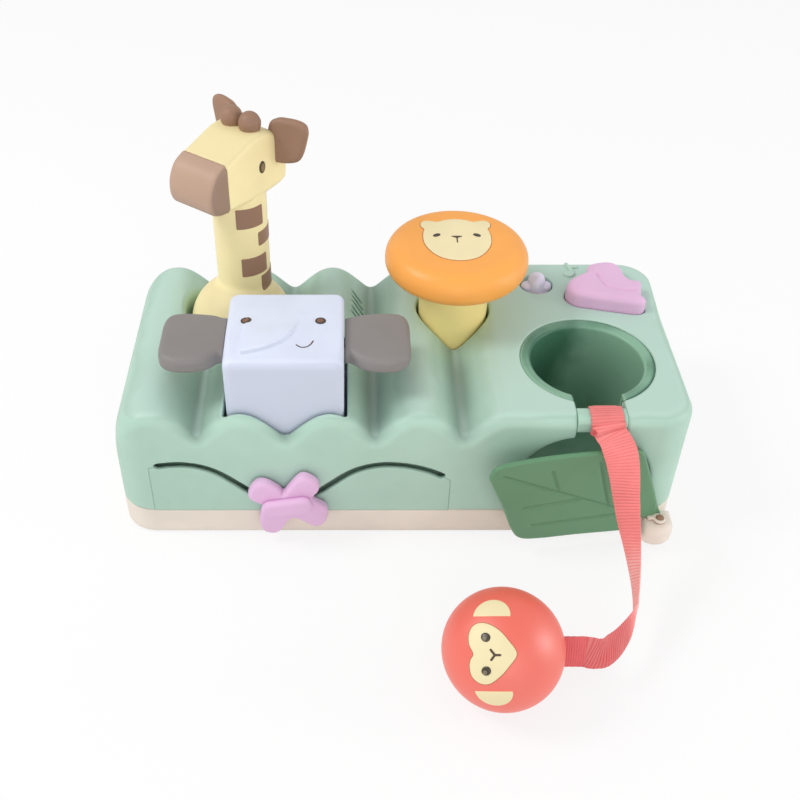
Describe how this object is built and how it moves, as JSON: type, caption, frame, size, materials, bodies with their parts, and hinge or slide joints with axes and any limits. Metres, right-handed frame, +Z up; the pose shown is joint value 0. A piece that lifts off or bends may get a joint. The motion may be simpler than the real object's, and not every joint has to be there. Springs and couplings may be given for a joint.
{
  "type": "pounding bench",
  "caption": "Baby activity bench with figures that press down and spring back, a wobbling giraffe, a wave slider, a button, a leaf door and a ball on a ribbon that drops through a cup.",
  "frame": {"origin": "middle of the base's underside, on the floor", "axes": "+X along the bench towards the cup, +Y away from the child towards the back, +Z up"},
  "size_m": [0.3, 0.2695, 0.1961],
  "materials": {
    "shell_green": "satin moulded",
    "base_cream": "satin moulded",
    "chute_green": "satin moulded",
    "leaf_green": "satin moulded",
    "ribbon_pink": "ribbed ribbon",
    "lens_lavender": "translucent",
    "lens_clear": "clear",
    "board_green": "solder mask",
    "steel": "plated",
    "spring_steel": "drawn wire",
    "pin_brass": "turned",
    "dome_rubber": "moulded",
    "speaker_black": "matt",
    "cell_grey": "sleeve",
    "inner_white": "moulded",
    "giraffe_yellow": "satin moulded",
    "giraffe_brown": "satin moulded",
    "muzzle_brown": "satin moulded",
    "elephant_white": "satin moulded",
    "elephant_grey": "satin moulded",
    "lion_orange": "satin moulded",
    "face_cream": "satin moulded",
    "stem_yellow": "satin moulded",
    "pink": "satin moulded",
    "ball_red": "satin moulded"
  },
  "bodies": {
    "bench": {"upper_shell": "shell_green", "base_tray": "base_cream", "front_panel": "shell_green", "ball_chute": "chute_green", "strap_bar": "shell_green", "strap_loop": "ribbon_pink", "strap": "ribbon_pink", "light_cover": "lens_lavender", "led": "lens_clear", "circuit_board": "board_green", "board_screws": "steel", "button_dome": "dome_rubber", "speaker": "speaker_black", "battery_cells": "cell_grey", "battery_contacts": "steel", "battery_door": "base_cream", "door_screw": "steel", "shell_screws": "steel", "hinge_pin": "pin_brass", "gimbal_cross_pin": "steel", "giraffe_spring": "spring_steel", "elephant_spring": "spring_steel", "lion_spring": "spring_steel"},
    "gimbal": {"gimbal_ring": "inner_white", "gimbal_side_pins": "steel"},
    "giraffe": {"giraffe_dome": "giraffe_yellow", "giraffe_neck": "giraffe_yellow", "giraffe_head": "giraffe_yellow", "giraffe_muzzle": "muzzle_brown", "giraffe_horns": "giraffe_brown", "giraffe_ear_l": "giraffe_brown", "giraffe_ear_r": "giraffe_brown", "giraffe_spots": "giraffe_brown"},
    "elephant": {"elephant_block": "elephant_white", "elephant_ear_l": "elephant_grey", "elephant_ear_r": "elephant_grey"},
    "lion": {"lion_cap": "lion_orange", "lion_face": "face_cream", "lion_stem": "stem_yellow", "lion_screw": "steel"},
    "bird": {"bird_button": "pink"},
    "butterfly": {"butterfly_wings": "pink", "butterfly_bar": "pink", "butterfly_retainer": "inner_white", "butterfly_screw": "steel"},
    "leaf": {"leaf_door": "leaf_green"},
    "ball": {"ball_front": "ball_red", "ball_back": "ball_red", "ball_face": "face_cream", "ball_ears": "face_cream", "strap_tab": "ribbon_pink"}
  },
  "joints": [
    {"name": "giraffe_rock", "type": "hinge", "parent": "bench", "child": "gimbal", "pos_m": [-0.088, 0.032, 0.069], "axis": [0, 1, 0], "range_deg": [-10, 10], "stiffness_Nm_per_rad": 0.8, "deforming": ["giraffe_spring"]},
    {"name": "giraffe_nod", "type": "hinge", "parent": "gimbal", "child": "giraffe", "pos_m": [-0.088, 0.032, 0.069], "axis": [1, 0, 0], "range_deg": [-10, 10], "stiffness_Nm_per_rad": 0.8, "deforming": ["giraffe_spring"]},
    {"name": "elephant_press", "type": "slide", "parent": "bench", "child": "elephant", "axis": [0, 0, -1], "range_m": [0, 0.012], "stiffness_N_per_m": 350, "springref_m": -0.012, "deforming": ["elephant_spring"]},
    {"name": "lion_press", "type": "slide", "parent": "bench", "child": "lion", "axis": [0, 0, -1], "range_m": [0, 0.018], "stiffness_N_per_m": 300, "springref_m": -0.012, "deforming": ["lion_spring"]},
    {"name": "bird_press", "type": "slide", "parent": "bench", "child": "bird", "axis": [0, 0, -1], "range_m": [0, 0.0025], "stiffness_N_per_m": 500, "springref_m": -0.003, "deforming": ["button_dome"]},
    {"name": "butterfly_slide", "type": "hinge", "parent": "bench", "child": "butterfly", "pos_m": [-0.0605, -0.07, 0.0553], "axis": [0, 1, 0], "range_deg": [-33, 33]},
    {"name": "leaf_swing", "type": "hinge", "parent": "bench", "child": "leaf", "pos_m": [0.139, -0.0776, 0.03], "axis": [0, 0, 1], "range_deg": [-8, 80], "deforming": ["strap"]},
    {"name": "ball_swing", "type": "hinge", "parent": "bench", "child": "ball", "pos_m": [0.105, -0.0643, 0.0775], "axis": [0, 0, 1], "range_deg": [-26, 26], "deforming": ["strap"]}
  ]
}
